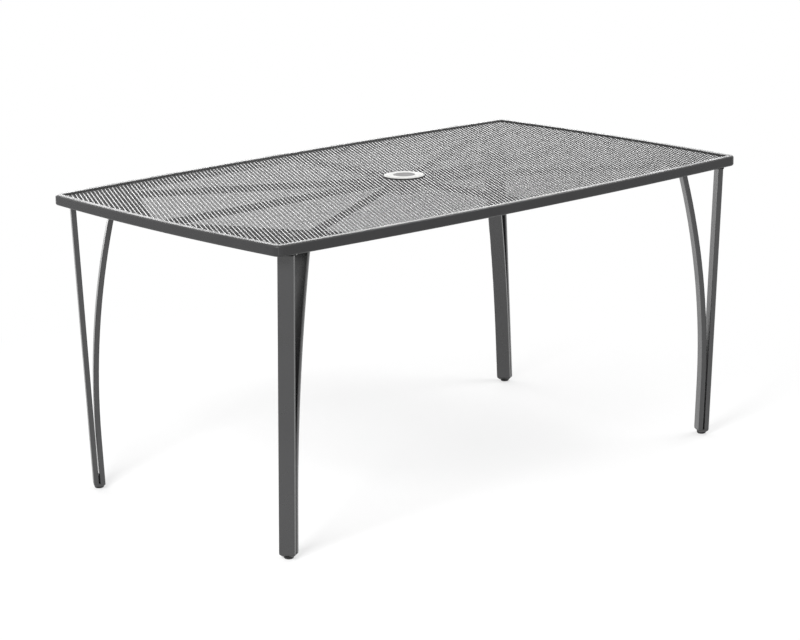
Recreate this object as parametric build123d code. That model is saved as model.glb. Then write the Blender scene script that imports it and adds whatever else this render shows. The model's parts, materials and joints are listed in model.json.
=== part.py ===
# Garden table: a bowed rim with an expanded-metal top, a star-shaped underframe,
# four forked legs on levelling glides and a parasol socket with a lift-out cap.
# Millimetres, +Z up. The origin is on the floor under the middle of the top.
from build123d import *
from math import atan2, cos, degrees, hypot, sin, sqrt
import os

# Overall sizes
table_length = 1542.0  # over the middle of the bowed ends
table_width = 914.0  # over the middle of the bowed sides
table_height = 740.0
end_bow = 17.0  # rise of an end's curve over its chord
side_bow = 26.0  # rise of a side's curve over its chord

# Rim: rectangular tube with a ledge inside for the mesh
rim_width = 20.0
rim_height = 25.4
rim_wall = 1.5
rim_corner_radius = 21.0
rim_edge_radius = 5.0  # of the tube's four long edges
ledge_width = 9.0
ledge_thickness = 1.5
mesh_drop = 3.0  # mesh surface below the top of the rim
weld_gap = 0.2  # room left between curved faces that are welded together

# Expanded-metal sheet, with a coarser diamond than the real one
mesh_thickness = 2.0
mesh_clearance = 0.6
mesh_border = 12.0
cell_length = 68.0  # short diagonal of a diamond, along the table
cell_width = 136.0  # long diagonal, across it
strand_width = 14.0
least_cell = 0.15  # smallest share of a diamond that is cut at the border

# Underframe: flat bars on edge that meet at a collar, and a plate under the mesh in each corner
arm_width = 5.0
arm_height = 16.0
corner_plate_thickness = 3.0
plate_margin = 12.5  # plate beyond the bolts of the curved tube
gusset_depth = 100.0  # from the tip of the rim's corner
gusset_thickness = 4.0

# Parasol socket
collar_height = 30.0
collar_wall = 3.0
collar_clearance = 0.4
ring_diameter = 102.0
ring_thickness = 2.8
ring_slope = 7.0  # width of the sloping outer band
ring_edge = 1.2  # thickness left at the rim of the ring
sleeve_length = 44.0  # below the mesh surface
sleeve_wall = 3.0
pole_diameter = 50.0
cap_diameter = 54.0
cap_lip = 1.0  # cap beyond its skirt
cap_thickness = 2.5
cap_clearance = 0.35
skirt_length = 11.0
skirt_wall = 1.8
lock_nut_diameter = 78.0
lock_nut_thickness = 7.0
lock_nut_clearance = 0.3
grip_count = 8
grip_radius = 5.0

# Legs: a straight tube and a curved one in one plane
tube_width = 38.0
tube_depth = 12.7
tube_wall = 1.5
tube_edge_radius = 2.5
leg_inset = 46.5  # from the tip of the rim's corner to the straight tube
leg_lean = 22.0  # how far the foot stands in towards the middle of the table
leg_side_lean = 26.5  # how far the foot stands in from the long side
fork_gap = 3.0  # between the two tubes where they run side by side
fork_height = 130.0  # where the curved tube leaves the straight one
fork_radius = 2045.0

# Bolted flanges at the tops of the legs
flange_thickness = 4.0
flange_width = 38.0
flange_margin = 1.0  # flange beyond the outer face of its tube
bolt_diameter = 6.0
bolt_clearance = 0.3
bolt_spacing = 22.0
bolt_distance = 22.0  # from the inner face of the straight tube to its bolts
plate_distance = 38.0  # from the curved tube to its bolts in the corner plate
head_diameter = 11.0
head_height = 3.5
head_bevel = 1.2
nut_across = 10.0
nut_height = 5.0
thread_gap = 0.1

# Feet
glide_height = 6.0
glide_diameter = 24.0
glide_base = 17.0
glide_rim = 2.0  # height of the straight edge under the plug
glide_bulge = 0.9  # rise of the rounded underside over its chord
plug_thickness = 8.0
plug_depth = 22.0
plug_clearance = 0.25
plug_corner_radius = 4.0
plug_taper = 5.0  # inset and height of the sloping underside
boss_diameter = 14.0
boss_height = 20.0
stud_diameter = 8.0
stud_length = 20.0
stud_gap = 0.08

# Levels
rim_bottom = table_height - rim_height
mesh_top = table_height - mesh_drop
mesh_bottom = mesh_top - mesh_thickness
ledge_bottom = mesh_bottom - ledge_thickness
gusset_top = rim_bottom + gusset_thickness
plate_bottom = mesh_bottom - corner_plate_thickness
tube_bottom = glide_height + plug_thickness

# The rim's outline: four arcs, two for the sides and two for the ends
half_length = table_length / 2
half_width = table_width / 2
chord_x = half_length - end_bow
chord_y = half_width - side_bow
side_radius = (chord_x**2 + side_bow**2) / (2 * side_bow)
end_radius = (chord_y**2 + end_bow**2) / (2 * end_bow)

corner_names = {
    (1, 1): "back_right",
    (-1, 1): "back_left",
    (1, -1): "front_right",
    (-1, -1): "front_left",
}
nodes = {}


# Where the back arc meets the right-hand arc, both moved inwards by inset
def outline_corner(inset):
    side_centre = half_width - side_radius
    end_centre = half_length - end_radius
    apart = hypot(end_centre, side_centre)
    ux = end_centre / apart
    uy = -side_centre / apart
    near = side_radius - inset
    far = end_radius - inset
    along = (near**2 - far**2 + apart**2) / (2 * apart)
    across = sqrt(near**2 - along**2)
    return ux * along + uy * across, side_centre + uy * along - ux * across


tip_x, tip_y = outline_corner(0)
tip_distance = hypot(tip_x, tip_y)


# The table's outline moved inwards, with its corners rounded where the inset leaves a radius
def outline_face(inset):
    x, y = outline_corner(inset)
    right = half_length - inset
    back = half_width - inset
    arcs = [
        ThreePointArc((-x, -y), (0, -back), (x, -y)),
        ThreePointArc((x, -y), (right, 0), (x, y)),
        ThreePointArc((x, y), (0, back), (-x, y)),
        ThreePointArc((-x, y), (-right, 0), (-x, -y)),
    ]
    face = Face(Wire(arcs))
    radius = rim_corner_radius - inset
    if radius > 0:
        face = face.fillet_2d(radius, face.vertices())
    return face


def slab(face, bottom, top):
    return extrude(Pos(0, 0, bottom) * face, amount=top - bottom, dir=(0, 0, 1))


def tube_ring(outer_radius, inner_radius, bottom, top):
    section = Circle(outer_radius) - Circle(inner_radius)
    return slab(section, bottom, top)


def disc(radius, bottom, top, x=0, y=0):
    return slab(Pos(x, y) * Circle(radius), bottom, top)


# Moves a piece made for the back right corner to another one
def at_corner(piece, x_side, y_side):
    if x_side < 0:
        piece = mirror(piece, about=Plane.YZ)
    if y_side < 0:
        piece = mirror(piece, about=Plane.XZ)
    return piece


# The rim's section all the way round, moved in from its faces by depth, with rounded long edges
def rounded_ring(depth, edge_radius):
    bottom = rim_bottom + depth
    top = table_height - depth
    ring = slab(outline_face(depth), bottom, top) - slab(outline_face(rim_width - depth), bottom, top)
    levels = ring.edges().group_by(Axis.Z)
    return fillet(levels[0] + levels[-1], edge_radius)


# Rim: one bowed tube with its ledge, cut along the mitres into four rails
def make_rim():
    frame = rounded_ring(0, rim_edge_radius)
    hollow = rounded_ring(rim_wall, rim_edge_radius - rim_wall)
    ledge = slab(outline_face(rim_width - rim_wall / 2), ledge_bottom, mesh_bottom)
    ledge -= slab(outline_face(rim_width + ledge_width), ledge_bottom, mesh_bottom)
    frame = frame - hollow + ledge
    inner_x, inner_y = outline_corner(rim_width + ledge_width)
    run_x = tip_x - inner_x
    run_y = tip_y - inner_y
    past_rim = table_length / rim_width
    out_x = tip_x + run_x * past_rim
    out_y = tip_y + run_y * past_rim
    in_x = inner_x - run_x
    in_y = inner_y - run_y
    side_cut = Polygon((-out_x, out_y), (-in_x, in_y), (in_x, in_y), (out_x, out_y), align=None)
    end_cut = Polygon((out_x, out_y), (in_x, in_y), (in_x, -in_y), (out_x, -out_y), align=None)
    back = frame & slab(side_cut, rim_bottom, table_height)
    right = frame & slab(end_cut, rim_bottom, table_height)
    nodes["rim_back"] = back
    nodes["rim_front"] = mirror(back, about=Plane.XZ)
    nodes["rim_right"] = right
    nodes["rim_left"] = mirror(right, about=Plane.YZ)


# Expanded-metal sheet: a face with diamond holes in staggered rows, cut off at the border
def make_mesh():
    sheet = outline_face(rim_width + mesh_clearance)
    field = outline_face(rim_width + mesh_border) - Circle(ring_diameter / 2)
    side = hypot(cell_length, cell_width) / 2
    pitch = cell_length * cell_width / 2 / side
    shrink = (pitch - strand_width) / pitch
    along = cell_length / 2 * shrink
    across = cell_width / 2 * shrink
    whole = 2 * along * across
    diamond = Polygon((along, 0), (0, across), (-along, 0), (0, -across), align=None)
    rows = int(half_width / (cell_width / 2)) + 1
    columns = int(half_length / cell_length) + 1
    holes = []
    for row in range(-rows, rows + 1):
        stagger = cell_length / 2 if row % 2 else 0
        for column in range(-columns - 1, columns + 1):
            place = Pos(column * cell_length + stagger, row * cell_width / 2)
            cut = field & (place * diamond)
            for hole in cut.faces() if cut else []:
                if hole.area > least_cell * whole:
                    holes.append(hole.outer_wire())
    holes.append(Wire(Circle(sleeve_outer_radius + collar_clearance).edges()))
    nodes["mesh_top"] = slab(Face(sheet.outer_wire(), holes), mesh_bottom, mesh_top)


# Cuts a bar of the underframe to the rim's inner faces and notches it under the ledge
def fit_in_rim(bar):
    room = slab(outline_face(rim_width + weld_gap), rim_bottom - arm_height, mesh_bottom)
    ledge = slab(outline_face(rim_width / 2), ledge_bottom, mesh_bottom)
    ledge -= slab(outline_face(rim_width + ledge_width + weld_gap), ledge_bottom, mesh_bottom)
    return (bar & room) - ledge


def make_arm(angle, reach):
    bar = Box(reach, arm_width, arm_height, align=(Align.MIN, Align.CENTER, Align.MAX))
    bar = Rot(0, 0, angle) * Pos(0, 0, mesh_bottom) * bar
    return fit_in_rim(bar) - disc(collar_outer_radius + weld_gap, rim_bottom - arm_height, mesh_bottom)


# Parasol socket sizes that follow from the pole and the cap
skirt_radius = cap_diameter / 2 - cap_lip
seat_radius = skirt_radius + cap_clearance
recess_radius = cap_diameter / 2 + cap_clearance
sleeve_outer_radius = seat_radius + sleeve_wall
collar_inner_radius = sleeve_outer_radius + collar_clearance
collar_outer_radius = collar_inner_radius + collar_wall
ring_top = mesh_top + ring_thickness
cap_seat = ring_top - cap_thickness
skirt_bottom = cap_seat - skirt_length
collar_bottom = mesh_bottom - collar_height
sleeve_bottom = mesh_top - sleeve_length


# Plastic ring with its sleeve; the upper part is wider to take the cap
def make_parasol_ring():
    edge = ring_diameter / 2
    section = Polygon(
        (pole_diameter / 2, sleeve_bottom),
        (sleeve_outer_radius, sleeve_bottom),
        (sleeve_outer_radius, mesh_top),
        (edge, mesh_top),
        (edge, mesh_top + ring_edge),
        (edge - ring_slope, ring_top),
        (recess_radius, ring_top),
        (recess_radius, cap_seat),
        (seat_radius, cap_seat),
        (seat_radius, skirt_bottom - cap_clearance),
        (pole_diameter / 2, skirt_bottom - cap_clearance),
        align=None,
    )
    nodes["parasol_ring"] = revolve(Plane.XZ * section, axis=Axis.Z)


def make_parasol_cap():
    top = disc(cap_diameter / 2, cap_seat, ring_top)
    top = chamfer(top.edges().group_by(Axis.Z)[-1], cap_thickness / 4)
    skirt = tube_ring(skirt_radius, skirt_radius - skirt_wall, skirt_bottom, cap_seat)
    nodes["parasol_cap"] = top + skirt


# Steel collar in the middle of the star, and the nut that draws the sleeve down on it
def make_collar():
    nodes["hub_collar"] = tube_ring(collar_outer_radius, collar_inner_radius, collar_bottom, mesh_bottom)
    nut_bottom = collar_bottom - lock_nut_thickness
    nut = tube_ring(lock_nut_diameter / 2, sleeve_outer_radius + lock_nut_clearance, nut_bottom, collar_bottom)
    grip = disc(grip_radius, nut_bottom, collar_bottom, x=lock_nut_diameter / 2 + grip_radius / 2)
    for step in range(grip_count):
        nut -= Rot(0, 0, 360 / grip_count * step) * grip
    nodes["parasol_lock_nut"] = nut


# The plane of the back right leg: x runs inwards, y up along the straight tube
diagonal_angle = degrees(atan2(tip_y, tip_x))
inwards = Vector(-tip_x, -tip_y, 0).normalized()
sideways = Vector(tip_y, -tip_x, 0).normalized()
leg_head = Vector(tip_x, tip_y, rim_bottom) + inwards * leg_inset
leg_foot = leg_head + inwards * leg_lean + sideways * leg_side_lean - Vector(0, 0, rim_bottom)
leg_rise = (leg_head - leg_foot).normalized()
leg_normal = inwards.cross(leg_rise).normalized()
leg_plane = Plane(origin=leg_foot, x_dir=leg_rise.cross(leg_normal), z_dir=leg_normal)
fork_offset = tube_depth + fork_gap
tube_reach = table_height + tube_width
foot_point = leg_plane.from_local_coords(Vector(fork_offset / 2, tube_bottom, 0))


# A length of tube wall along the leg: straight, or bending inwards above the fork
def straight_strip(centre, depth):
    return Pos(centre, tube_reach / 2) * Rectangle(depth, tube_reach + 2 * tube_width)


def curved_strip(depth):
    pivot = fork_offset + fork_radius
    sweep = (tube_reach - fork_height) / fork_radius
    outer = fork_radius + depth / 2
    inner = fork_radius - depth / 2
    low = -tube_width

    def bend(radius, angle):
        return (pivot - radius * cos(angle), fork_height + radius * sin(angle))

    outline = [
        Line((pivot - inner, low), (pivot - outer, low)),
        Line((pivot - outer, low), bend(outer, 0)),
        ThreePointArc(bend(outer, 0), bend(outer, sweep / 2), bend(outer, sweep)),
        Line(bend(outer, sweep), bend(inner, sweep)),
        ThreePointArc(bend(inner, sweep), bend(inner, sweep / 2), bend(inner, 0)),
        Line(bend(inner, 0), (pivot - inner, low)),
    ]
    return Face(Wire(outline))


# A flat tube from its strip and the strip of its hollow, with rounded long edges
def make_tube(strip, hollow_strip):
    tube = extrude(strip, amount=tube_width / 2, both=True)
    long_edges = [
        edge for edge in tube.edges() if abs(edge.center().Z) > tube_wall and edge.length > 2 * tube_depth
    ]
    tube = fillet(long_edges, tube_edge_radius)
    return tube - extrude(hollow_strip, amount=tube_width / 2 - tube_wall, both=True)


# Places a leg piece and cuts it level at the bottom and the top
def set_on_leg(piece, bottom, top):
    return (leg_plane.location * piece) & Pos(0, 0, bottom) * Box(
        2 * table_length, 2 * table_width, top - bottom, align=(Align.CENTER, Align.CENTER, Align.MIN)
    )


# A flat plate along the corner's diagonal, between two distances from the tip
def diagonal_plate(start, end, width, bottom, top):
    plate = Pos(tip_distance - (start + end) / 2, 0) * Rectangle(end - start, width)
    return Rot(0, 0, diagonal_angle) * slab(plate, bottom, top)


def diagonal_point(distance, across):
    along = Vector(tip_x, tip_y, 0) + inwards * distance
    return along + sideways * across


def drill(piece, places, radius, bottom, top):
    for place in places:
        piece -= disc(radius, bottom, top, place.X, place.Y)
    return piece


def make_bolt(place, bottom, tip):
    head = disc(head_diameter / 2, bottom - head_height, bottom, place.X, place.Y)
    head = chamfer(head.edges().group_by(Axis.Z)[0], head_bevel)
    return head + disc(bolt_diameter / 2, bottom, tip, place.X, place.Y)


def make_nut(place, bottom):
    hexagon = RegularPolygon(nut_across / 2, 6, major_radius=False)
    section = Pos(place.X, place.Y) * (hexagon - Circle(bolt_diameter / 2 + thread_gap))
    return slab(section, bottom, bottom + nut_height)


# Foot of the plug under both tubes, tapering to the glide
def make_plug_foot():
    length = fork_offset + tube_depth
    full = RectangleRounded(length, tube_width, plug_corner_radius)
    base = RectangleRounded(length - 2 * plug_taper, tube_width - 2 * plug_taper, plug_corner_radius / 2)
    taper_top = glide_height + plug_taper
    taper = loft([Pos(0, 0, glide_height) * base, Pos(0, 0, taper_top) * full], ruled=True)
    return taper + slab(full, taper_top, tube_bottom)


# Leg tubes and the double plug that closes their lower ends
def make_leg():
    stud_room = disc(boss_diameter / 2 + plug_clearance, 0, tube_bottom + boss_height + tube_wall,
                     foot_point.X, foot_point.Y)
    straight = make_tube(straight_strip(0, tube_depth), straight_strip(0, tube_depth - 2 * tube_wall))
    curved = make_tube(curved_strip(tube_depth), curved_strip(tube_depth - 2 * tube_wall))
    leg = {}
    leg["outer_tube"] = set_on_leg(straight, tube_bottom, rim_bottom - flange_thickness) - stud_room
    leg["inner_tube"] = set_on_leg(curved, tube_bottom, plate_bottom - flange_thickness) - stud_room
    stub_depth = tube_depth - 2 * tube_wall - 2 * plug_clearance
    stub_width = tube_width / 2 - tube_wall - plug_clearance
    stubs = extrude(straight_strip(0, stub_depth), amount=stub_width, both=True)
    stubs += extrude(straight_strip(fork_offset, stub_depth), amount=stub_width, both=True)
    plug = set_on_leg(stubs, tube_bottom, tube_bottom + plug_depth)
    plug += Pos(foot_point.X, foot_point.Y) * Rot(0, 0, diagonal_angle) * make_plug_foot()
    plug += disc(boss_diameter / 2, glide_height, tube_bottom + boss_height, foot_point.X, foot_point.Y)
    plug -= disc(stud_diameter / 2 + stud_gap, glide_height, tube_bottom + boss_height,
                 foot_point.X, foot_point.Y)
    leg["foot_plug"] = plug
    return leg


# Round-bottomed glide on a threaded stud that screws into the plug
def make_glide():
    edge = glide_diameter / 2
    base = glide_base / 2
    shoulder = glide_height - glide_rim
    outline = [
        Line((0, 0), (base, 0)),
        SagittaArc((base, 0), (edge, shoulder), -glide_bulge),
        Line((edge, shoulder), (edge, glide_height)),
        Line((edge, glide_height), (stud_diameter / 2, glide_height)),
        Line((stud_diameter / 2, glide_height), (stud_diameter / 2, glide_height + stud_length)),
        Line((stud_diameter / 2, glide_height + stud_length), (0, glide_height + stud_length)),
        Line((0, glide_height + stud_length), (0, 0)),
    ]
    glide = revolve(Plane.XZ * Face(Wire(outline)), axis=Axis.Z)
    return Pos(foot_point.X, foot_point.Y) * glide


# Gusset, corner plate and diagonal arm of one corner, with the leg's two bolted flanges
def make_corner(inner_tube):
    tapped = bolt_diameter / 2 + thread_gap
    clear = bolt_diameter / 2 + bolt_clearance
    tube_face = leg_inset + tube_depth / 2
    gusset_bolts = [diagonal_point(tube_face + bolt_distance, side * bolt_spacing / 2) for side in (-1, 1)]
    inner_head = inner_tube.faces().sort_by(Axis.Z)[-1].center()
    inner_distance = tip_distance - hypot(inner_head.X, inner_head.Y)
    bolt_place = inner_distance + plate_distance
    plate_bolts = [diagonal_point(bolt_place, side * bolt_spacing / 2) for side in (-1, 1)]
    plate_edge = bolt_place + plate_margin
    flange_top = rim_bottom
    flange_bottom = flange_top - flange_thickness
    plate_flange_bottom = plate_bottom - flange_thickness

    corner = {}
    room = slab(outline_face(rim_width + weld_gap), rim_bottom, gusset_top)
    gusset = room & diagonal_plate(0, gusset_depth, table_width, rim_bottom, gusset_top)
    corner["gusset"] = drill(gusset, gusset_bolts, clear, rim_bottom, gusset_top)
    plate = fit_in_rim(diagonal_plate(0, plate_edge, table_width, plate_bottom, mesh_bottom))
    clear_of_arms = arm_width / 2 + weld_gap
    quarter = Box(table_length, table_width, corner_plate_thickness, align=(Align.MIN, Align.MIN, Align.MIN))
    plate &= Pos(clear_of_arms, clear_of_arms, plate_bottom) * quarter
    corner["corner_plate"] = drill(plate, plate_bolts, tapped, plate_bottom, mesh_bottom)
    corner["arm"] = make_arm(diagonal_angle, tip_distance - plate_edge)
    flange = diagonal_plate(leg_inset - tube_depth / 2 - flange_margin, gusset_depth, flange_width,
                            flange_bottom, flange_top)
    corner["gusset_flange"] = drill(flange, gusset_bolts, clear, flange_bottom, flange_top)
    flange = diagonal_plate(inner_distance - tube_depth / 2 - flange_margin, plate_edge - weld_gap, flange_width,
                            plate_flange_bottom, plate_bottom)
    corner["plate_flange"] = drill(flange, plate_bolts, clear, plate_flange_bottom, plate_bottom)
    bolts = [make_bolt(place, flange_bottom, gusset_top + nut_height) for place in gusset_bolts]
    bolts += [make_bolt(place, plate_flange_bottom, mesh_bottom - thread_gap) for place in plate_bolts]
    nuts = [make_nut(place, gusset_top) for place in gusset_bolts]
    return corner, bolts, nuts


def make_legs_and_corners():
    leg = make_leg()
    glide = make_glide()
    corner, bolts, nuts = make_corner(leg["inner_tube"])
    all_bolts = []
    all_nuts = []
    for (x_side, y_side), name in corner_names.items():
        for part, piece in leg.items():
            nodes["leg_" + name + "_" + part] = at_corner(piece, x_side, y_side)
        for part in ("gusset_flange", "plate_flange"):
            nodes["leg_" + name + "_" + part] = at_corner(corner[part], x_side, y_side)
        for part in ("gusset", "corner_plate", "arm"):
            nodes[part + "_" + name] = at_corner(corner[part], x_side, y_side)
        nodes["glide_" + name] = at_corner(glide, x_side, y_side)
        all_bolts += [at_corner(bolt, x_side, y_side) for bolt in bolts]
        all_nuts += [at_corner(nut, x_side, y_side) for nut in nuts]
    nodes["leg_bolts"] = Compound(children=all_bolts)
    nodes["weld_nuts"] = Compound(children=all_nuts)


def make_straight_arms():
    for name, angle in (("right", 0), ("back", 90), ("left", 180), ("front", 270)):
        nodes["arm_" + name] = make_arm(angle, table_length)


make_rim()
make_mesh()
make_collar()
make_parasol_ring()
make_parasol_cap()
make_straight_arms()
make_legs_and_corners()

os.makedirs("parts", exist_ok=True)
for node, piece in nodes.items():
    export_step(piece, "parts/" + node + ".step")
print(len(nodes), "nodes written")
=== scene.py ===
import json
from math import asin, radians

import bmesh
import bpy
from mathutils import Matrix, Vector


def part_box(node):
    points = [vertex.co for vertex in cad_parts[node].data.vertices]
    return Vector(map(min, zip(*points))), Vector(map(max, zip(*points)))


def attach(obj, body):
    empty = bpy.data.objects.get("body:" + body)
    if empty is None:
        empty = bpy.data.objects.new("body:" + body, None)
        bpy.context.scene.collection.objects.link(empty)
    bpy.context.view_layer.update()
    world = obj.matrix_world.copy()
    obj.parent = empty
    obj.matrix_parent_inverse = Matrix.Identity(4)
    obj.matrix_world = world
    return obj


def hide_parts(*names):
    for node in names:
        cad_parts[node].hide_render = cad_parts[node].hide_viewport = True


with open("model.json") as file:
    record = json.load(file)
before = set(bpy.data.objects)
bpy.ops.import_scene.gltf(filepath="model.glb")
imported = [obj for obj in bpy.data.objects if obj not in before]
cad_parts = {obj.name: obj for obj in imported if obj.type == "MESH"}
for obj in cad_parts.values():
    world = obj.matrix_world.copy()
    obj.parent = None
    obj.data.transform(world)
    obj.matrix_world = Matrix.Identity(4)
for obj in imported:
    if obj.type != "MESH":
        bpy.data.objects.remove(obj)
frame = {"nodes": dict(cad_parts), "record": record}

scene = bpy.context.scene
scene.view_settings.view_transform = "Standard"
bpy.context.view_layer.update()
print("frame loaded,", len(frame["nodes"]), "nodes")


# Camera at the photograph's view
photoView = {
    "position": (-4.0582, -4.5468, 1.8797),  # metres
    "azimuth": -41.5944,  # degrees
    "elevation": 13.938,
    "roll": -1.0372,
    "lens": 112.082,  # millimetres
    "sensorWidth": 36,
    "farthest": 100,  # metres
}


def placeCamera():
    data = bpy.data.cameras.new("photoCamera")
    data.lens = photoView["lens"]
    data.sensor_width = photoView["sensorWidth"]
    data.clip_end = photoView["farthest"]
    camera = bpy.data.objects.new("photoCamera", data)
    turn = Matrix.Rotation(radians(photoView["azimuth"]), 4, "Z")
    turn @= Matrix.Rotation(radians(90 - photoView["elevation"]), 4, "X")
    turn @= Matrix.Rotation(radians(photoView["roll"]), 4, "Z")
    camera.matrix_world = Matrix.Translation(photoView["position"]) @ turn
    scene.collection.objects.link(camera)
    scene.camera = camera


placeCamera()
print("camera placed")


# Shader helpers
def addNode(tree, kind, **settings):
    node = tree.nodes.new(kind)
    for name, value in settings.items():
        setattr(node, name, value)
    return node


def newGroup(name, inputs, outputs):
    group = bpy.data.node_groups.new(name, "ShaderNodeTree")
    for label, value in inputs.items():
        socket = group.interface.new_socket(label, in_out="INPUT", socket_type="NodeSocketFloat")
        socket.default_value = value
    for label in outputs:
        group.interface.new_socket(label, in_out="OUTPUT", socket_type="NodeSocketFloat")
    ends = addNode(group, "NodeGroupInput"), addNode(group, "NodeGroupOutput")
    return group, *ends


# Carries a range of values over to another, with soft ends
def remap(tree, value, span, result):
    node = addNode(tree, "ShaderNodeMapRange", interpolation_type="SMOOTHSTEP")
    for socket, number in zip(node.inputs[1:5], (*span, *result)):
        socket.default_value = number
    tree.links.new(value, node.inputs["Value"])
    return node.outputs["Result"]


def compute(tree, operation, *values):
    node = addNode(tree, "ShaderNodeMath", operation=operation)
    for socket, value in zip(node.inputs, values):
        if isinstance(value, (int, float)):
            socket.default_value = value
        else:
            tree.links.new(value, socket)
    return node.outputs[0]


def computeVector(tree, operation, *values):
    node = addNode(tree, "ShaderNodeVectorMath", operation=operation)
    for socket, value in zip(node.inputs, values):
        if isinstance(value, tuple):
            socket.default_value = value
        else:
            tree.links.new(value, socket)
    return node


def addNoise(tree, scale, detail):
    noise = addNode(tree, "ShaderNodeTexNoise")
    noise.inputs["Detail"].default_value = detail
    place = addNode(tree, "ShaderNodeTexCoord").outputs["Object"]
    tree.links.new(place, noise.inputs["Vector"])
    tree.links.new(scale, noise.inputs["Scale"])
    return noise.outputs["Fac"]


def splitZ(tree, vector):
    parts = addNode(tree, "ShaderNodeSeparateXYZ")
    tree.links.new(vector, parts.inputs[0])
    return parts.outputs["Z"]


# Places of the colour sockets on a Mix node, which shares their names with other kinds
mixSockets = {"first": 6, "second": 7, "result": 2}


def blendColours(tree, factor, first, second):
    node = addNode(tree, "ShaderNodeMix", data_type="RGBA")
    tree.links.new(factor, node.inputs["Factor"])
    for place, value in (("first", first), ("second", second)):
        socket = node.inputs[mixSockets[place]]
        if isinstance(value, tuple):
            socket.default_value = (*value, 1)
        else:
            tree.links.new(value, socket)
    return node.outputs[mixSockets["result"]]


# Orange-peel texture of a sprayed coat or a moulding: fine grain with slow mottling
surfaceGrain = {
    "grainScale": 900.0, "grainDetail": 2.0,
    "mottleScale": 14.0, "mottleDetail": 4.0,
}


def makeGrainGroup():
    spec = surfaceGrain
    scales = {"Grain Scale": spec["grainScale"], "Mottle Scale": spec["mottleScale"]}
    group, inside, outside = newGroup("surfaceGrain", scales, ("Grain", "Mottle"))
    grain = addNoise(group, inside.outputs["Grain Scale"], spec["grainDetail"])
    group.links.new(grain, outside.inputs["Grain"])
    mottle = addNoise(group, inside.outputs["Mottle Scale"], spec["mottleDetail"])
    group.links.new(mottle, outside.inputs["Mottle"])
    return group


# Edges where the coat is thinner and worn, lightened also as a painted highlight
edgeWearAndHighlight = {
    "width": 0.0012,
    "bevelSamples": 4,
    "turn": (0.995, 0.86),  # cosine of the edge's turn, from no wear and highlight to full
    "patchScale": 60.0, "patchDetail": 2.0,
    "patchSpan": (0.3, 0.65),  # noise values between the least and the most worn and highlit patch
    "patchShare": (0.35, 1),
}


def makeEdgeGroup():
    spec = edgeWearAndHighlight
    inputs = {"Width": spec["width"], "Patch Scale": spec["patchScale"]}
    group, inside, outside = newGroup("edgeWearAndHighlight", inputs, ("Wear And Highlight",))
    bevel = addNode(group, "ShaderNodeBevel", samples=spec["bevelSamples"])
    group.links.new(inside.outputs["Width"], bevel.inputs["Radius"])
    flat = addNode(group, "ShaderNodeNewGeometry").outputs["Normal"]
    turn = computeVector(group, "DOT_PRODUCT", bevel.outputs["Normal"], flat).outputs["Value"]
    edge = remap(group, turn, spec["turn"], (0, 1))
    noise = addNoise(group, inside.outputs["Patch Scale"], spec["patchDetail"])
    patch = remap(group, noise, spec["patchSpan"], spec["patchShare"])
    group.links.new(compute(group, "MULTIPLY", edge, patch), outside.inputs["Wear And Highlight"])
    return group


# Dust that settles on faces that look up
settledDust = {
    "upward": (0.5, 1.0),  # upward part of the normal, from no dust to full dust
    "patchScale": 9.0, "patchDetail": 6.0,
    "patchSpan": (0.35, 0.75),
    "patchShare": (0.2, 1),
}


def makeDustGroup():
    spec = settledDust
    group, inside, outside = newGroup("settledDust", {"Patch Scale": spec["patchScale"]}, ("Dust",))
    flat = addNode(group, "ShaderNodeNewGeometry").outputs["Normal"]
    upward = remap(group, splitZ(group, flat), spec["upward"], (0, 1))
    noise = addNoise(group, inside.outputs["Patch Scale"], spec["patchDetail"])
    patch = remap(group, noise, spec["patchSpan"], spec["patchShare"])
    group.links.new(compute(group, "MULTIPLY", upward, patch), outside.inputs["Dust"])
    return group


# Painted shade in the seam where a piece meets the mesh, on the rim's inner wall and the ring's foot
paintedSeamShade = {
    "reach": 0.0015,
    "side": 1.0,  # 1 for faces that look away from the table's middle, -1 for those towards it
    "facing": (0.1, 0.4),  # sideways part of the normal, from no painted shade to full painted shade
    "fade": (0.7, 1.1),  # shares of the reach between which the painted shade ends
}


def makeSeamGroup():
    spec = paintedSeamShade
    inputs = {"Seam Height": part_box("mesh_top")[1].z, "Reach": spec["reach"], "Side": spec["side"]}
    group, inside, outside = newGroup("paintedSeamShade", inputs, ("Painted Shade",))
    place = addNode(group, "ShaderNodeTexCoord").outputs["Object"]
    flat = addNode(group, "ShaderNodeNewGeometry").outputs["Normal"]
    level = computeVector(group, "MULTIPLY", place, (1, 1, 0)).outputs["Vector"]
    outward = computeVector(group, "NORMALIZE", level).outputs["Vector"]
    turn = computeVector(group, "DOT_PRODUCT", outward, flat).outputs["Value"]
    facing = compute(group, "MULTIPLY", turn, inside.outputs["Side"])
    rise = compute(group, "SUBTRACT", splitZ(group, place), inside.outputs["Seam Height"])
    away = compute(group, "DIVIDE", compute(group, "ABSOLUTE", rise), inside.outputs["Reach"])
    towards = remap(group, facing, spec["facing"], (0, 1))
    near = remap(group, away, spec["fade"], (1, 0))
    group.links.new(compute(group, "MULTIPLY", towards, near), outside.inputs["Painted Shade"])
    return group


grainGroup = makeGrainGroup()
edgeGroup = makeEdgeGroup()
dustGroup = makeDustGroup()
seamGroup = makeSeamGroup()
print("effects made")


# Noise values between which the mottling runs, in the colour and in the roughness
mottleSpans = {"colour": (0.3, 0.7), "roughness": (0.25, 0.75)}
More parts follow.
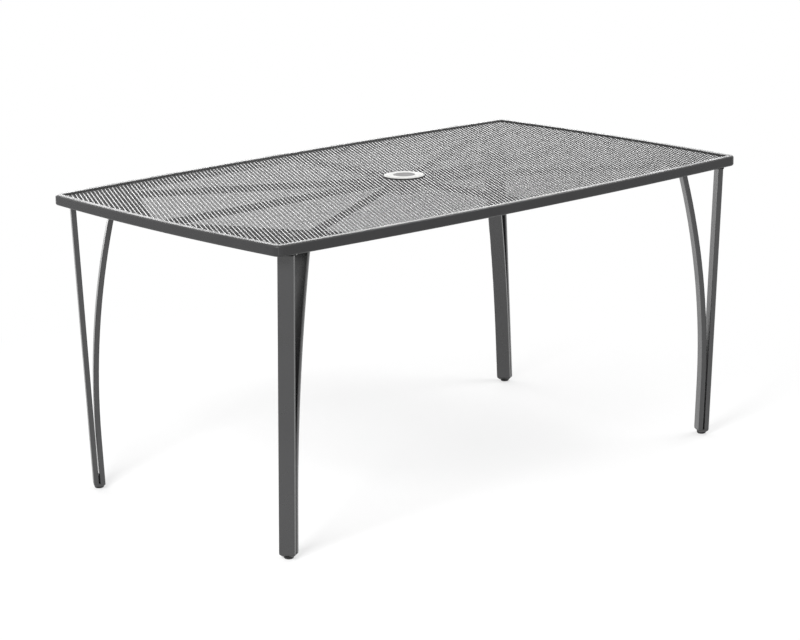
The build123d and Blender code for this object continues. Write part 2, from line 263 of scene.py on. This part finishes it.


# One finish: a mottled colour with worn edges that also carry a painted highlight, dust, painted
# shade in the seam, and fine grain in the bump
def makeFinish(name, look):
    material = bpy.data.materials.new(name)
    material.use_nodes = True
    tree = material.node_tree
    shader = tree.nodes["Principled BSDF"]
    grain = addNode(tree, "ShaderNodeGroup", node_tree=grainGroup)
    grain.inputs["Grain Scale"].default_value = look["grainScale"]
    grain.inputs["Mottle Scale"].default_value = look["mottleScale"]
    mottle = grain.outputs["Mottle"]
    edge = addNode(tree, "ShaderNodeGroup", node_tree=edgeGroup)
    edge.inputs["Width"].default_value = look["edgeWidth"]
    dust = addNode(tree, "ShaderNodeGroup", node_tree=dustGroup)

    dark = tuple(part * (1 - look["mottle"]) for part in look["colour"])
    light = tuple(part * (1 + look["mottle"]) for part in look["colour"])
    colour = blendColours(tree, remap(tree, mottle, mottleSpans["colour"], (0, 1)), dark, light)
    # Edges lightened: partly wear, partly a painted highlight
    wearAndHighlightShare = compute(tree, "MULTIPLY", edge.outputs["Wear And Highlight"], look["wearAndHighlight"])
    colour = blendColours(tree, wearAndHighlightShare, colour, look["wearHighlightColour"])
    dusty = compute(tree, "MULTIPLY", dust.outputs["Dust"], look["dust"])
    colour = blendColours(tree, dusty, colour, look["dustColour"])
    # Painted shade darkens the seam where the piece meets the mesh
    if "seamReach" in look:
        seam = addNode(tree, "ShaderNodeGroup", node_tree=seamGroup)
        seam.inputs["Reach"].default_value = look["seamReach"]
        seam.inputs["Side"].default_value = look["seamSide"]
        colour = blendColours(tree, seam.outputs["Painted Shade"], colour, look["seamShadeColour"])
    tree.links.new(colour, shader.inputs["Base Color"])

    spread = look["roughnessSpread"]
    ends = look["roughness"] - spread, look["roughness"] + spread
    rough = remap(tree, mottle, mottleSpans["roughness"], ends)
    tree.links.new(rough, shader.inputs["Roughness"])
    bump = addNode(tree, "ShaderNodeBump")
    bump.inputs["Strength"].default_value = look["bump"]
    bump.inputs["Distance"].default_value = look["bumpDepth"]
    tree.links.new(grain.outputs["Grain"], bump.inputs["Height"])
    tree.links.new(bump.outputs["Normal"], shader.inputs["Normal"])
    shader.inputs["Metallic"].default_value = look.get("metallic", 0.0)
    shader.inputs["Specular IOR Level"].default_value = look["specular"]
    return material


finishLooks = {
    "frame_coat": {
        "colour": (0.031, 0.031, 0.032), "mottle": 0.06, "mottleScale": 11.0,
        "wearAndHighlight": 0.35, "wearHighlightColour": (0.14, 0.14, 0.14), "edgeWidth": 0.0012,
        "dust": 0.05, "dustColour": (0.3, 0.29, 0.27),
        "roughness": 0.38, "roughnessSpread": 0.04, "specular": 0.25,
        "grainScale": 1100.0, "bump": 0.12, "bumpDepth": 0.0002,
        # Painted shade on the rim's inner wall along the mesh
        "seamReach": 0.0018, "seamSide": -1.0, "seamShadeColour": (0.003, 0.003, 0.003),
    },
    "mesh_coat": {
        "colour": (0.022, 0.022, 0.023), "mottle": 0.08, "mottleScale": 30.0,
        "wearAndHighlight": 0.3, "wearHighlightColour": (0.16, 0.16, 0.16), "edgeWidth": 0.0003,
        "dust": 0.06, "dustColour": (0.3, 0.29, 0.27),
        "roughness": 0.25, "roughnessSpread": 0.03, "specular": 0.38,
        "grainScale": 1400.0, "bump": 0.1, "bumpDepth": 0.0001,
    },
    "ring_plastic": {
        "colour": (0.52, 0.52, 0.51), "mottle": 0.03, "mottleScale": 40.0,
        "wearAndHighlight": 0.25, "wearHighlightColour": (0.75, 0.75, 0.74), "edgeWidth": 0.0006,
        "dust": 0.04, "dustColour": (0.4, 0.39, 0.37),
        "roughness": 0.5, "roughnessSpread": 0.05, "specular": 0.2,
        "grainScale": 1800.0, "bump": 0.15, "bumpDepth": 0.0001,
        # Painted shade along the ring's foot on the mesh
        "seamReach": 0.0017, "seamSide": 1.0, "seamShadeColour": (0.006, 0.006, 0.006),
    },
    "cap_plastic": {
        "colour": (0.12, 0.12, 0.12), "mottle": 0.05, "mottleScale": 50.0,
        "wearAndHighlight": 0.3, "wearHighlightColour": (0.3, 0.3, 0.3), "edgeWidth": 0.0006,
        "dust": 0.06, "dustColour": (0.4, 0.39, 0.37),
        "roughness": 0.55, "roughnessSpread": 0.05, "specular": 0.12,
        "grainScale": 1800.0, "bump": 0.2, "bumpDepth": 0.0001,
    },
    "plug_plastic": {
        "colour": (0.045, 0.045, 0.046), "mottle": 0.06, "mottleScale": 60.0,
        "wearAndHighlight": 0.4, "wearHighlightColour": (0.1, 0.1, 0.1), "edgeWidth": 0.0008,
        "dust": 0.05, "dustColour": (0.25, 0.24, 0.22),
        "roughness": 0.45, "roughnessSpread": 0.05, "specular": 0.4,
        "grainScale": 1600.0, "bump": 0.2, "bumpDepth": 0.0001,
    },
    "glide_plastic": {
        "colour": (0.012, 0.012, 0.012), "mottle": 0.08, "mottleScale": 80.0,
        "wearAndHighlight": 0.5, "wearHighlightColour": (0.06, 0.06, 0.06), "edgeWidth": 0.0006,
        "dust": 0.05, "dustColour": (0.2, 0.19, 0.18),
        "roughness": 0.5, "roughnessSpread": 0.06, "specular": 0.4,
        "grainScale": 1600.0, "bump": 0.2, "bumpDepth": 0.0001,
    },
    "zinc": {
        "colour": (0.55, 0.55, 0.54), "mottle": 0.12, "mottleScale": 120.0,
        "wearAndHighlight": 0.3, "wearHighlightColour": (0.7, 0.7, 0.69), "edgeWidth": 0.0004,
        "dust": 0.05, "dustColour": (0.3, 0.29, 0.27),
        "roughness": 0.36, "roughnessSpread": 0.08, "specular": 0.5,
        "grainScale": 2200.0, "bump": 0.15, "bumpDepth": 0.00005,
        "metallic": 1.0,
    },
}
# The same coat is darker and glossier on the legs; on the bars and plates under the mesh it is
# darker and dull, as painted shade
finishLooks["frame_coat_legs"] = {
    **finishLooks["frame_coat"],
    "colour": (0.018, 0.018, 0.019), "roughness": 0.28, "specular": 0.9,
}
finishLooks["frame_coat_under"] = {
    **finishLooks["frame_coat"],
    "colour": (0.022, 0.022, 0.023), "roughness": 0.6, "specular": 0.08, "dust": 0.0,
}
finishes = {name: makeFinish(name + "_finish", look) for name, look in finishLooks.items()}


def finishOf(name, slotName):
    if slotName == "frame_coat" and name.endswith("_tube"):
        return finishes["frame_coat_legs"]
    # Bars and plates under the mesh take the darker, dull copy as painted shade
    if slotName == "frame_coat" and not name.startswith("rim_"):
        return finishes["frame_coat_under"]
    return finishes[slotName]


for subpart in frame["record"]["subparts"]:
    name, slotName = subpart["node"], subpart["material_slot"]
    node = frame["nodes"][name]
    node.data.materials.clear()
    node.data.materials.append(finishOf(name, slotName))
print("finishes made:", len(finishes))


# Expanded metal: diamonds between straight crossing strands
expandedMetal = {
    "strandSpacing": 0.0109,  # along the table, between strands of one slant
    "diamondLength": 0.021,  # across the table
    "strandWidth": 0.0025,  # measured along the table
    "lean": 0.46,  # rise over run of a crossing, along the table
    "thickness": 0.0006,
    "edgeClearance": 0.0004,
    "mergeReach": 0.00002,  # slivers shorter than this are closed up
    "spareCells": 2,  # cells past the edges, for the trims to cut off
    "sidePlanes": 10,  # straight cuts that follow half a bowed side
    "endPlanes": 8,
    "holeRadius": 0.031,
    "sideBow": 0.026,  # rise of the sheet's arcs over their chords
    "endBow": 0.017,
}


def everythingIn(bm):
    return bm.verts[:] + bm.edges[:] + bm.faces[:]


# One leaning crossing of two strands, with the two strands that leave it in the +Y direction
def addCrossing(bm):
    spec = expandedMetal
    halfWide = spec["strandWidth"] / 2
    halfLong = halfWide * spec["diamondLength"] / spec["strandSpacing"]
    lift = halfWide * spec["lean"]
    made = bmesh.ops.create_circle(bm, cap_ends=True, segments=4, radius=1)["verts"]
    bmesh.ops.scale(bm, vec=(halfWide, halfLong, 1), verts=made)
    for corner in made:
        corner.co.z = corner.co.x * spec["lean"]
    across = spec["strandSpacing"] / 2 - halfWide
    along = spec["diamondLength"] / 2 - halfLong
    for side in (-1, 1):
        edge = [e for e in bm.edges if e.is_boundary and all(v in made for v in e.verts)
                and all(v.co.y > -halfLong / 2 and v.co.x * side > -halfWide / 2 for v in e.verts)]
        grown = bmesh.ops.extrude_edge_only(bm, edges=edge)["geom"]
        ends = [v for v in grown if isinstance(v, bmesh.types.BMVert)]
        bmesh.ops.translate(bm, vec=(side * across, along, -side * lift), verts=ends)


def repeatAlong(bm, step, count):
    bmesh.ops.spin(bm, geom=everythingIn(bm), cent=(0, 0, 0), axis=(0, 0, 1), dvec=step, angle=0,
                   steps=count, use_duplicate=True)


def trim(bm, point, outward):
    bmesh.ops.bisect_plane(bm, geom=everythingIn(bm), dist=expandedMetal["mergeReach"],
                           plane_co=point, plane_no=outward, clear_outer=True)


# Trims the quarter sheet to half of a bowed edge, in straight cuts from the middle to the corner
def trimArc(bm, reach, rise, halfChord, count, along, turn):
    radius = (halfChord**2 + rise**2) / (2 * rise)
    sweep = asin(halfChord / radius)
    centre = along * (reach - radius)
    for step in range(count):
        outward = Matrix.Rotation(turn * sweep * (step + 0.5) / count, 3, "Z") @ along
        trim(bm, centre + outward * (radius - expandedMetal["edgeClearance"]), outward)


# Half of the sheet, right for 1 and left for -1: a quarter of thin strands, mirrored and thickened
def buildHalfSheet(half):
    spec = expandedMetal
    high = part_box("mesh_top")[1]
    pitch, length = spec["strandSpacing"], spec["diamondLength"]
    bm = bmesh.new()
    addCrossing(bm)
    repeatAlong(bm, (pitch / 2, length / 2, 0), 1)
    columns = int(high.x / pitch) + spec["spareCells"]
    rows = int(high.y / length) + spec["spareCells"]
    repeatAlong(bm, (pitch, 0, 0), columns)
    repeatAlong(bm, (0, length, 0), rows)
    bmesh.ops.translate(bm, vec=(min(half, 0) * columns * pitch, -length, 0), verts=bm.verts)
    bmesh.ops.remove_doubles(bm, verts=bm.verts, dist=spec["mergeReach"])
    trim(bm, Vector((0, 0, 0)), Vector((-half, 0, 0)))
    trim(bm, Vector((0, 0, 0)), Vector((0, -1, 0)))
    side, end = spec["sideBow"], spec["endBow"]
    trimArc(bm, high.y, side, high.x - end, spec["sidePlanes"], Vector((0, 1, 0)), -half)
    trimArc(bm, high.x, end, high.y - side, spec["endPlanes"], Vector((half, 0, 0)), half)
    hole = [f for f in bm.faces if f.calc_center_median().length < spec["holeRadius"]]
    bmesh.ops.delete(bm, geom=hole, context="FACES")
    bmesh.ops.dissolve_degenerate(bm, dist=spec["mergeReach"], edges=bm.edges)
    bmesh.ops.mirror(bm, geom=everythingIn(bm), axis="Y", merge_dist=spec["mergeReach"])
    bmesh.ops.recalc_face_normals(bm, faces=bm.faces)
    bmesh.ops.solidify(bm, geom=bm.faces[:], thickness=spec["thickness"])
    top = max(v.co.z for v in bm.verts)
    bmesh.ops.translate(bm, vec=(0, 0, high.z - top), verts=bm.verts)
    bmesh.ops.recalc_face_normals(bm, faces=bm.faces)
    return bm


def addPiece(bm, name, body, slotName, node):
    mesh = bpy.data.meshes.new(name)
    bm.to_mesh(mesh)
    bm.free()
    mesh.materials.append(finishes[slotName])
    piece = bpy.data.objects.new(name, mesh)
    scene.collection.objects.link(piece)
    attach(piece, body)
    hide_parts(node)
    print(name, "triangles", sum(len(p.vertices) - 2 for p in mesh.polygons))


def buildMesh():
    for half, name in ((1, "meshSheet_right"), (-1, "meshSheet_left")):
        addPiece(buildHalfSheet(half), name, "table", "mesh_coat", "mesh_top")


buildMesh()
print("expanded metal built")


# Floor, white surroundings and soft studio light
studio = {
    "floorRadius": 4.0,
    "floorSides": 96,
    "floorColour": (0.9, 0.9, 0.9),
    "floorGlow": 0.56,  # share of the floor's white that keeps no shadow
    "floorFade": (1.0, 1.8),  # distances between which the shadow fades out
    "fill": 0.56,  # white of the room on the object
    "aim": (0.0, 0.0, 0.6),  # point that the softboxes look at
}
softboxes = {
    "keySoftbox": {"place": (-3.2, -1.3, 3.0), "size": (1.4, 1.4), "power": 130.0},
    "backSoftbox": {"place": (2.7, 4.2, 1.4), "size": (4.6, 1.2), "power": 110.0},
    "sideSoftbox": {"place": (0.0, 4.4, 1.4), "size": (2.7, 2.6), "power": 75.0},
    "topSoftbox": {"place": (1.75, -0.5, 2.7), "size": (1.1, 0.9), "power": 26.0},
}


# Rays that see the white itself, and not its light on the object
def rayMask(tree):
    rays = addNode(tree, "ShaderNodeLightPath")
    seen = compute(tree, "MAXIMUM", rays.outputs["Is Camera Ray"], rays.outputs["Is Glossy Ray"])
    return compute(tree, "MAXIMUM", seen, rays.outputs["Is Transmission Ray"])


def mixShaders(tree, factor, first, second):
    node = addNode(tree, "ShaderNodeMixShader")
    tree.links.new(factor, node.inputs["Fac"])
    tree.links.new(first, node.inputs[1])
    tree.links.new(second, node.inputs[2])
    return node.outputs[0]


def makeFloorFinish():
    material = bpy.data.materials.new("floorWhite")
    material.use_nodes = True
    tree = material.node_tree
    tree.nodes.remove(tree.nodes["Principled BSDF"])
    plain = addNode(tree, "ShaderNodeBsdfDiffuse")
    plain.inputs["Color"].default_value = (*studio["floorColour"], 1)
    glow = addNode(tree, "ShaderNodeEmission")
    place = addNode(tree, "ShaderNodeTexCoord").outputs["Object"]
    distance = computeVector(tree, "LENGTH", place).outputs["Value"]
    fade = remap(tree, distance, studio["floorFade"], (studio["floorGlow"], 1))
    share = mixShaders(tree, fade, plain.outputs[0], glow.outputs[0])
    pick = mixShaders(tree, rayMask(tree), plain.outputs[0], share)
    tree.links.new(pick, tree.nodes["Material Output"].inputs["Surface"])
    return material


def makeFloor():
    bm = bmesh.new()
    bmesh.ops.create_circle(bm, cap_ends=True, segments=studio["floorSides"],
                            radius=studio["floorRadius"])
    mesh = bpy.data.meshes.new("floor")
    bm.to_mesh(mesh)
    bm.free()
    mesh.materials.append(makeFloorFinish())
    floor = bpy.data.objects.new("floor", mesh)
    scene.collection.objects.link(floor)


def makeRoom():
    world = bpy.data.worlds.new("whiteRoom")
    scene.world = world
    world.use_nodes = True
    tree = world.node_tree
    background = tree.nodes["Background"]
    background.inputs["Color"].default_value = (1, 1, 1, 1)
    seen = rayMask(tree)
    fill = compute(tree, "MULTIPLY", compute(tree, "SUBTRACT", 1.0, seen), studio["fill"])
    tree.links.new(compute(tree, "ADD", fill, seen), background.inputs["Strength"])


def addSoftbox(name, place, size, power):
    data = bpy.data.lights.new(name, "AREA")
    data.energy = power
    data.shape = "RECTANGLE"
    data.size, data.size_y = size
    lamp = bpy.data.objects.new(name, data)
    lamp.location = place
    gaze = Vector(studio["aim"]) - Vector(place)
    lamp.rotation_euler = gaze.to_track_quat("-Z", "Y").to_euler()
    scene.collection.objects.link(lamp)


makeFloor()
makeRoom()
for name, box in softboxes.items():
    addSoftbox(name, **box)
print("studio lit")
